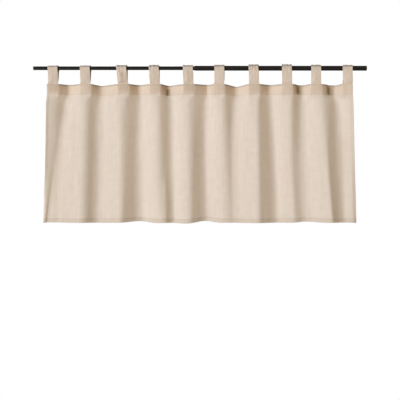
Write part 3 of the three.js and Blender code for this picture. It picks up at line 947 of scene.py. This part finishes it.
along_panel = np.arange(STITCH_PITCH, PANEL_WIDTH - STITCH_PITCH / 2, STITCH_PITCH)
panel_middle = hung_cloth(along_panel, HEADING_SEAM)[0][:, 0]
hem_layers = TURN_GAP * (3 - 2 * ease(SIDE_HEM, SIDE_HEM + CORNER_EASE, from_side(along_panel)))
for name, down, behind in [
    ("heading_top_stitching", STITCH_INSET, facing_depth(along_panel, STITCH_INSET, panel_middle)),
    ("heading_seam_stitching", HEADING_SEAM, facing_depth(along_panel, HEADING_SEAM, panel_middle)),
    ("bottom_hem_stitching", HEM_SEAM, hem_layers),
]:
    front, back = (hung_cloth(along_panel, down, depth)[0] for depth in (-STITCH_OUT, behind + STITCH_OUT))
    stitched_line(name, front, back)
for name, inset in [
    ("left_hem_stitching", SIDE_HEM - STITCH_INSET),
    ("right_hem_stitching", PANEL_WIDTH - SIDE_HEM + STITCH_INSET),
]:
    at = np.array([inset])
    levels = np.arange(HEADING_HEIGHT + STITCH_PITCH, HEM_SEAM - STITCH_PITCH / 2, STITCH_PITCH)
    lines = [
        np.array([hung_cloth(at, down, depth)[0][0] for down in levels])
        for depth in (-STITCH_OUT, TURN_GAP + STITCH_OUT)
    ]
    stitched_line(name, *lines)
bpy.data.meshes.remove(grain)

# Stage
# A plain floor, painted a matt pale white, well below the hanging cloth and as wide as the studio. It
# reads as white as the backdrop.
FLOOR_SIZE = 30
FLOOR_HEIGHT = -1.5
floor_bm = bmesh.new()
bmesh.ops.create_grid(floor_bm, x_segments=1, y_segments=1, size=FLOOR_SIZE)
bmesh.ops.translate(floor_bm, verts=floor_bm.verts, vec=(0, 0, FLOOR_HEIGHT))
floor_mesh = bpy.data.meshes.new("floor")
floor_bm.to_mesh(floor_mesh)
floor_bm.free()
floor = bpy.data.objects.new("floor", floor_mesh)
scene.collection.objects.link(floor)
floor_paint, tree = new_material("pale_floor")
seen = add_node(tree, "ShaderNodeLightPath").outputs["Is Camera Ray"]
matt = add_node(tree, "ShaderNodeBsdfDiffuse", {"Color": srgb("#f4f3f1")})
white = add_node(tree, "ShaderNodeEmission", {"Color": srgb("#ffffff"), "Strength": 1.0})
floor_mix = add_node(tree, "ShaderNodeMixShader", links={"Fac": seen})
tree.links.new(matt.outputs["BSDF"], floor_mix.inputs[1])
tree.links.new(white.outputs["Emission"], floor_mix.inputs[2])
add_node(tree, "ShaderNodeOutputMaterial", links={"Surface": floor_mix.outputs["Shader"]})
floor_mesh.materials.append(floor_paint)

# Studio light
# A large soft box to the left of the camera, in a room with warm white walls and a dark ceiling, which
# reads as pure white behind the cloth. A smaller soft box stands low behind it and lights only its back.
SoftBox = namedtuple("SoftBox", "name place size power")
SOFT_BOXES = [
    SoftBox("key", Vector((-15.0, -14.7, 2.6)), 11.2, 2910),
    SoftBox("back", Vector((-4.0, 12.0, -0.2)), 2.0, 560),
]
BOX_AIM = Vector((0, 0, -0.33))
# The boxes' light is a little cool, and the room's is warm
BOX_COLOUR = (0.925, 1.0, 1.095)
ROOM_COLOUR = (1.16, 1.0, 0.76, 1)
ROOM_LIGHT = 0.8
CEILING_LIGHT = 0.12
world = bpy.data.worlds.new("studio")
scene.world = world
world.use_nodes = True
tree = world.node_tree
tree.nodes.clear()
seen = add_node(tree, "ShaderNodeLightPath").outputs["Is Camera Ray"]
towards = add_node(tree, "ShaderNodeTexCoord").outputs["Generated"]
height = add_node(tree, "ShaderNodeSeparateXYZ", links={"Vector": towards}).outputs["Z"]
overhead = add_node(
    tree, "ShaderNodeMapRange",
    {"From Min": 0.1, "From Max": 0.8, "To Min": ROOM_LIGHT, "To Max": CEILING_LIGHT}, {"Value": height})
room = add_node(
    tree, "ShaderNodeMapRange", {"To Max": 1.0}, {"Value": seen, "To Min": overhead.outputs["Result"]})
room_tint = add_node(
    tree, "ShaderNodeMixRGB", {"Color1": ROOM_COLOUR, "Color2": (1, 1, 1, 1)}, {"Fac": seen})
backdrop = add_node(
    tree, "ShaderNodeBackground", {},
    {"Color": room_tint.outputs["Color"], "Strength": room.outputs["Result"]})
add_node(tree, "ShaderNodeOutputWorld", links={"Surface": backdrop.outputs["Background"]})
for box in SOFT_BOXES:
    box_data = bpy.data.lights.new(box.name, "AREA")
    box_data.shape = "SQUARE"
    box_data.size = box.size
    box_data.energy = box.power
    box_data.color = BOX_COLOUR
    soft_box = bpy.data.objects.new(box.name, box_data)
    soft_box.location = box.place
    soft_box.rotation_euler = (BOX_AIM - box.place).to_track_quat("-Z", "Y").to_euler()
    scene.collection.objects.link(soft_box)
scene.view_settings.view_transform = "Standard"
